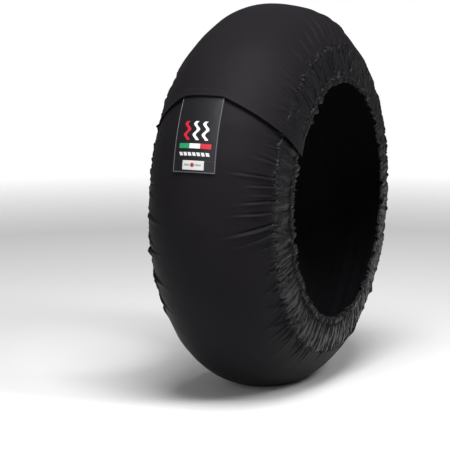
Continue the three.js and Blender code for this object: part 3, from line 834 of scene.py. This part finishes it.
# %% Felt, carrier cloth and tapes
def strip_solid(name, angles, low, high, top, bottom, columns):
    """Strip whose section is a superellipse between two arcs (|cos|^0.4) and two depths (|sin|^0.8).

    angles are the rows' angles round the axle; top and bottom are functions of angle and arc.
    """
    turn, angle = np.meshgrid(np.linspace(0, 2 * np.pi, columns), angles, indexing="xy")
    across = np.sign(np.cos(turn)) * np.abs(np.cos(turn)) ** 0.4
    through = np.sign(np.sin(turn)) * np.abs(np.sin(turn)) ** 0.8
    arc = (low + high) / 2 + (high - low) / 2 * across
    upper = top(angle, arc)
    lower = bottom(angle, arc)
    points = place(angle, arc, (upper + lower) / 2 - (lower - upper) / 2 * through)
    points[0] = points[0].mean(axis=0)
    points[-1] = points[-1].mean(axis=0)
    uv = np.stack([np.radians(angle) * CROWN_RADIUS, arc], axis=-1)
    return grid_object(name, points, uv)


strip_angles = np.linspace(FLAP_ANGLE - OVERLAP - 0.1, FLAP_ANGLE - OVERLAP - 359.9, 300)
felt = strip_solid(
    "felt_strip",
    strip_angles,
    -0.118,
    0.118,
    lambda angle, arc: 0.0048 + 0 * arc,
    lambda angle, arc: 0.0096 - 0.0030 * smooth_step((np.abs(arc) - 0.085) / 0.02),
    65,
)
install(felt, "felt_padding", slot="felt")
carrier_angle, carrier_arc = np.meshgrid(strip_angles[::-1], np.linspace(-0.092, 0.092, 41), indexing="ij")
carrier_uv = np.stack([np.radians(carrier_angle) * CROWN_RADIUS, carrier_arc], axis=-1)
carrier = grid_object("carrier_cloth", place(carrier_angle, carrier_arc, 0.0102), carrier_uv)
install(carrier, "cable_carrier_cloth", slot="glass_cloth")

TAPE_INSET = 0.0265
TAPE_END = 0.0855
tape_near = math.degrees(TAPE_INSET / CROWN_RADIUS)
tape_far = math.degrees(TAPE_END / CROWN_RADIUS)
tape_angles = FLAP_ANGLE - np.linspace(tape_near, tape_far, 40)
TAPES = [("right", -0.119, -0.094), ("centre", -0.060, 0.060), ("left", 0.094, 0.119)]


def under_flap(angle, arc):
    return 0.0011 - lift(FLAP_ANGLE - angle, arc)


for name, low, high in TAPES:
    hook = strip_solid(
        f"hook_cloth_{name}", tape_angles, low, high, under_flap, lambda a, t: under_flap(a, t) + 0.0007, 33
    )
    install(hook, f"hook_tape_{name}", slot="closure_tape")
    loop = strip_solid(
        f"loop_cloth_{name}",
        tape_angles,
        low,
        high,
        lambda a, t: 0 * t - 0.0009,
        lambda a, t: 0 * t - 0.0003,
        33,
    )
    install(loop, f"loop_tape_{name}", slot="closure_tape")

# %% [markdown]
# The heating cable is a round tube swept along four passes of the strip, with a half turn between them.

# %% Heating cable
CABLE_RADIUS = 0.0012
CABLE_DEPTH = 0.0121
PASSES_AT = (-0.062, -0.030, 0.030, 0.062)


def cable_path():
    """Angle and arc along the cable: each pass is straight, and each turn is a half circle."""
    first = FLAP_ANGLE - OVERLAP - 5.0
    last = first - 350.0
    angles = []
    arcs = []
    for index, arc in enumerate(PASSES_AT):
        run = np.linspace(first, last, 240) if index % 2 == 0 else np.linspace(last, first, 240)
        angles.append(run)
        arcs.append(np.full(240, arc))
        if index < 3:
            gap = PASSES_AT[index + 1] - arc
            way = -1 if index % 2 == 0 else 1
            round_turn = np.linspace(0, np.pi, 14)[1:-1]
            angles.append(run[-1] + way * math.degrees(0.009 / CROWN_RADIUS) * np.sin(round_turn))
            arcs.append(arc + gap * (1 - np.cos(round_turn)) / 2)
    return np.concatenate(angles), np.concatenate(arcs)


def swept_tube(path, outward, radius, sides):
    """Rings round a path: centre + radius (cos k sideways + sin k outward), with closed ends."""
    along = np.gradient(path, axis=0)
    sideways = np.cross(along, outward)
    sideways = sideways / np.linalg.norm(sideways, axis=-1, keepdims=True)
    turn = np.linspace(0, 2 * np.pi, sides)
    ring = np.cos(turn)[:, None] * sideways[:, None, :] + np.sin(turn)[:, None] * outward[:, None, :]
    size = np.full(len(path), radius)
    size[0] = 0.0
    size[-1] = 0.0
    return path[:, None, :] + size[:, None, None] * ring


path_angle, path_arc = cable_path()
cable_line = place(path_angle, path_arc, CABLE_DEPTH)
cable_out = place(path_angle, path_arc, CABLE_DEPTH - 0.001) - cable_line
cable_out = cable_out / np.linalg.norm(cable_out, axis=-1, keepdims=True)
cable_grid = swept_tube(cable_line, cable_out, CABLE_RADIUS, 9)
cable_turn, cable_run = np.meshgrid(np.linspace(0, 1, 9), np.linspace(0, 8.2, len(path_arc)), indexing="xy")
cable = grid_object("cable_tube", cable_grid, np.stack([cable_turn, cable_run], axis=-1))
install(cable, "heating_cable", slot="silicone_cable")

# %% [markdown]
# ## The inner lining
# Through the opening the lining shows, which lies against the tyre. It is quilted to the cable under
# it: four low ridges run round it, with rows of stitches between them.

# %% Lining
LINING_DEPTH = 0.0140


def lining_point(angle, arc):
    edge = smooth_step((np.abs(arc) - 0.101) / 0.032)
    depth = LINING_DEPTH * (1 - edge) + 0.0052 * edge
    ridges = sum(np.exp(-(((arc - at) / 0.0045) ** 2)) for at in (-0.062, -0.030, 0.030, 0.062))
    quilting = sum(np.exp(-(((arc - at) / 0.0022) ** 2)) for at in (-0.082, -0.046, 0.0, 0.046, 0.082))
    waves = 0.0006 * long_waves(angle, arc, 9, (9, 60), (0.03, 0.2), 31)
    return place(angle, arc, depth + 0.0011 * ridges - 0.0010 * quilting + waves)


lining_start = FLAP_ANGLE - OVERLAP - 0.1
lining_angle, lining_arc = np.meshgrid(
    np.linspace(lining_start, lining_start - 359.8, 520), np.linspace(-0.137, 0.137, 130), indexing="ij"
)
lining_grid = lining_point(lining_angle, lining_arc)[::-1]
lining_uv = np.stack([np.radians(lining_angle) * CROWN_RADIUS, lining_arc], axis=-1)[::-1]
lining = grid_object("lining_cloth", lining_grid, lining_uv)
install(lining, "inner_lining", slot="lining_cloth")
paint(lining, nylon("lining_weave", srgb(24, 24, 27), 0.0011, 0.0005, 0.8, 0.1))

# %% [markdown]
# ## Materials of the hidden pieces
# Each has a plain base colour broken by noise at the scale of its own structure: matted fibres in felt,
# threads in glass cloth and elastic, and fine scratches on metal.

# %% Hidden materials
def textured(name, dark, light, scale, depth, roughness, metallic=0.0, stretch=(1, 1, 1)):
    m = Material(name)
    where = m.node("ShaderNodeVectorMath", {"operation": "MULTIPLY"}, {0: m.coordinates(), 1: stretch})
    grain = m.noise(where, scale, 3.0)
    m.shader.inputs["Metallic"].default_value = metallic
    rough = roughness - 0.06 + 0.12 * grain
    return m.finish(Base_Color=m.mix(grain, dark, light), Roughness=rough, Normal=m.bump(grain, depth, 0.6))


felt_wool = textured("felt_wool", srgb(92, 89, 84), srgb(124, 120, 113), 420, 0.0006, 0.95)
glass_tones = (srgb(198, 194, 180), srgb(222, 218, 206))
glass_weave = textured("glass_weave", *glass_tones, 900, 0.0003, 0.9, stretch=(1, 3, 1))
silicone = textured("silicone_red", srgb(156, 44, 30), srgb(176, 56, 38), 300, 0.0001, 0.5)
elastic_tones = (srgb(22, 22, 24), srgb(36, 36, 38))
elastic_weave = textured("elastic_weave", *elastic_tones, 1200, 0.0003, 0.8, stretch=(3, 1, 3))
tape_pile = textured("tape_pile", srgb(18, 18, 20), srgb(34, 34, 37), 1600, 0.0008, 0.9)
plated = textured("plated_metal", srgb(170, 170, 172), srgb(196, 196, 198), 700, 0.00002, 0.3, metallic=1.0)
rubber = textured("black_rubber", srgb(20, 20, 20), srgb(28, 28, 28), 500, 0.0001, 0.6)

paint(felt, felt_wool)
paint(carrier, glass_weave)
paint(cable, silicone)
for name in ("right", "centre", "left"):
    paint(bpy.data.objects[f"hook_cloth_{name}"], tape_pile)
    paint(bpy.data.objects[f"loop_cloth_{name}"], tape_pile)
for node, finish in (
    ("lamp_lead", silicone),
    ("thermostat", plated),
    ("supply_splice_right", plated),
    ("supply_splice_left", plated),
    ("hem_elastic_right", elastic_weave),
    ("hem_elastic_left", elastic_weave),
    ("lead_grommet", rubber),
):
    paint(bpy.data.objects[node], finish)

# %% [markdown]
# ## Stitching
# Each stitch is a short, slightly arched capsule of thread laid on the cloth. Rows run beside both seams
# and along the flap's hem. All the stitches are one mesh.

# %% Stitches
STITCH_PITCH = 0.0046
STITCH_LENGTH = 0.0033
THREAD_RADIUS = 0.00032


def stitches_along(path, outward):
    """Capsules along a path of points: each is a ring of 6 points over 5 places, thin at both ends."""
    steps = np.linalg.norm(np.diff(path, axis=0), axis=1)
    run = np.concatenate([[0], np.cumsum(steps)])
    middles = np.arange(STITCH_PITCH, run[-1] - STITCH_PITCH / 2, STITCH_PITCH)
    share = np.array([-0.5, -0.38, 0.0, 0.38, 0.5])
    width = np.array([0.35, 1.0, 1.0, 1.0, 0.35]) * THREAD_RADIUS
    rise = np.array([-0.6, 0.2, 0.8, 0.2, -0.6]) * THREAD_RADIUS
    places = middles[:, None] + share * STITCH_LENGTH
    centre = np.stack([np.interp(places, run, path[:, k]) for k in range(3)], axis=-1)
    out = np.stack([np.interp(places, run, outward[:, k]) for k in range(3)], axis=-1)
    direction = centre[:, -1:] - centre[:, :1]
    direction = direction / np.linalg.norm(direction, axis=-1, keepdims=True)
    sideways = np.cross(direction, out)
    centre = centre + out * rise[None, :, None]
    ring = np.linspace(0, 2 * np.pi, 6, endpoint=False)
    circle = np.cos(ring)[:, None] * sideways[:, :, None, :] + np.sin(ring)[:, None] * out[:, :, None, :]
    return centre[:, :, None, :] + circle * width[None, :, None, None]


def stitch_faces(count):
    """Quads round each capsule's 5 rings of 6 points."""
    first = (np.arange(count) * 30)[:, None, None]
    ring = (np.arange(4) * 6)[None, :, None]
    k = np.arange(6)[None, None, :]
    after = (k + 1) % 6
    corners = [first + ring + k, first + ring + after, first + ring + 6 + after, first + ring + 6 + k]
    return np.stack(np.broadcast_arrays(*corners), axis=-1).reshape(-1, 4)


def row_on_cover(wrap, arc):
    """Path on the cover and the direction out of it."""
    path = cover_point(wrap, arc, 0.0001)
    above = cover_point(wrap, arc, 0.0011)
    return path, (above - path) / np.linalg.norm(above - path, axis=-1, keepdims=True)


round_wraps = np.linspace(0.3, 359.0, 4000)
thread_rows = []
for side in (-1, 1):
    thread_rows.append(row_on_cover(round_wraps, np.full(4000, side * (SEAM_ARC - 0.0035))))
edge_arcs = np.linspace(-SEAM_ARC + 0.002, SEAM_ARC - 0.002, 900)
for inset in (0.0030, 0.0120):
    thread_rows.append(row_on_cover(np.full(900, math.degrees(inset / CROWN_RADIUS)), edge_arcs))
capsules = np.concatenate([stitches_along(*row) for row in thread_rows])
thread = build_mesh("stitching", capsules.reshape(-1, 3), stitch_faces(len(capsules)))
install(thread, slot="cover_nylon")
thread_material = Material("thread")
twist = thread_material.noise(thread_material.coordinates(), 2500.0, 1.0)
twist_bump = thread_material.bump(twist, 0.0001, 0.4)
thread_material.finish(Base_Color=srgb(30, 30, 33), Roughness=0.5, Normal=twist_bump)
paint(thread, thread_material.material)
print("stitches", len(capsules))

# %% [markdown]
# ## Camera and light
# The photograph was taken from in front and a little to the right of the flap, slightly above the axle,
# with a long lens. The camera aims beside the axle, because the warmer isn't in the middle of the
# picture.

# %% Camera
CAMERA_AZIMUTH = -67.0
CAMERA_HEIGHT_ANGLE = 8.43
CAMERA_DISTANCE = 5.0
FOCAL_PIXELS = 2826.6
PICTURE = 450
CENTRE_PIXEL = (272.6, 195.2)

azimuth = math.radians(CAMERA_AZIMUTH)
elevation = math.radians(CAMERA_HEIGHT_ANGLE)
level = math.cos(elevation)
back = Vector((math.sin(azimuth) * level, -math.cos(azimuth) * level, math.sin(elevation)))
right = Vector((math.cos(azimuth), math.sin(azimuth), 0))
up = back.cross(right)
axle = Vector((0, 0, AXLE_HEIGHT))
metres_per_pixel = CAMERA_DISTANCE / FOCAL_PIXELS
target = axle - right * (CENTRE_PIXEL[0] - PICTURE / 2) * metres_per_pixel
target = target + up * (CENTRE_PIXEL[1] - PICTURE / 2) * metres_per_pixel
camera_data = bpy.data.cameras.new("camera")
camera_data.lens = FOCAL_PIXELS * camera_data.sensor_width / PICTURE
camera_data.clip_end = 60
camera = bpy.data.objects.new("camera", camera_data)
camera.location = axle + back * CAMERA_DISTANCE
camera.rotation_euler = (camera.location - target).to_track_quat("Z", "Y").to_euler()
bpy.context.scene.collection.objects.link(camera)
bpy.context.scene.camera = camera

# %% Floor, backdrop and lights
FLOOR_RADIUS = 2.6
FLOOR_FADE = 0.9
FLOOR_SHADE = (0.35, 0.35, 0.35, 1)
FLOOR_SEEN = (0.93, 0.93, 0.93, 1)
WORLD_FILL = 0.16
WORLD_SEEN = 1.0
ring = np.linspace(0, 2 * np.pi, 97)[:-1]
floor_points = np.stack([FLOOR_RADIUS * np.cos(ring), FLOOR_RADIUS * np.sin(ring), 0 * ring], axis=-1)
floor_mesh = bpy.data.meshes.new("floor")
floor_mesh.from_pydata([tuple(p) for p in floor_points], [], [tuple(range(96))])
floor = bpy.data.objects.new("floor", floor_mesh)
bpy.context.scene.collection.objects.link(floor)
floor_material = Material("floor_white")
where = floor_material.coordinates()
from_middle = floor_material.node("ShaderNodeVectorMath", {"operation": "LENGTH"}, {0: where}, 1)
fade = (FLOOR_RADIUS - from_middle) / FLOOR_FADE
fade.socket.node.use_clamp = True
by_camera = floor_material.node("ShaderNodeLightPath", output="Is Camera Ray")
by_gloss = floor_material.node("ShaderNodeLightPath", output="Is Glossy Ray")
by_glass = floor_material.node("ShaderNodeLightPath", output="Is Transmission Ray")
seen = by_camera.math("MAXIMUM", by_gloss).math("MAXIMUM", by_glass)
floor_tone = floor_material.mix(seen, FLOOR_SHADE, FLOOR_SEEN)
floor_material.finish(Base_Color=floor_tone, Roughness=0.9, Alpha=fade)
paint(floor, floor_material.material)

world = bpy.data.worlds.new("studio")
world.use_nodes = True
bpy.context.scene.world = world
world_nodes = world.node_tree.nodes
world_links = world.node_tree.links
path = world_nodes.new("ShaderNodeLightPath")
strength = world_nodes.new("ShaderNodeMix")
strength.inputs[2].default_value = WORLD_FILL
strength.inputs[3].default_value = WORLD_SEEN
world_links.new(path.outputs["Is Camera Ray"], strength.inputs[0])
world_nodes["Background"].inputs["Color"].default_value = (1, 1, 1, 1)
world_links.new(strength.outputs[0], world_nodes["Background"].inputs["Strength"])


def area_light(name, location, aim, size, watts):
    data = bpy.data.lights.new(name, "AREA")
    data.shape = "RECTANGLE"
    data.size = size[0]
    data.size_y = size[1]
    data.energy = watts
    light = bpy.data.objects.new(name, data)
    light.location = location
    light.rotation_euler = (Vector(location) - Vector(aim)).to_track_quat("Z", "Y").to_euler()
    bpy.context.scene.collection.objects.link(light)
    return light


area_light("top_softbox", (-0.9, -0.5, 2.6), (0, 0, 0.2), (1.4, 1.4), 76)
area_light("front_left", (-2.8, 0.4, 1.0), (0, 0, 0.35), (0.9, 1.2), 16)
area_light("right_strip", (-0.4, -2.2, 2.3), (0, 0, 0.5), (0.6, 1.0), 28)

# %% [markdown]
# ## Render settings
# The view is Standard, so colours come out as they were set.

# %% Render settings and finish
scene = bpy.context.scene
scene.render.engine = "CYCLES"
scene.cycles.samples = 256
scene.cycles.use_denoising = True
scene.render.resolution_x = PICTURE
scene.render.resolution_y = PICTURE
scene.view_settings.view_transform = "Standard"
bpy.context.view_layer.update()
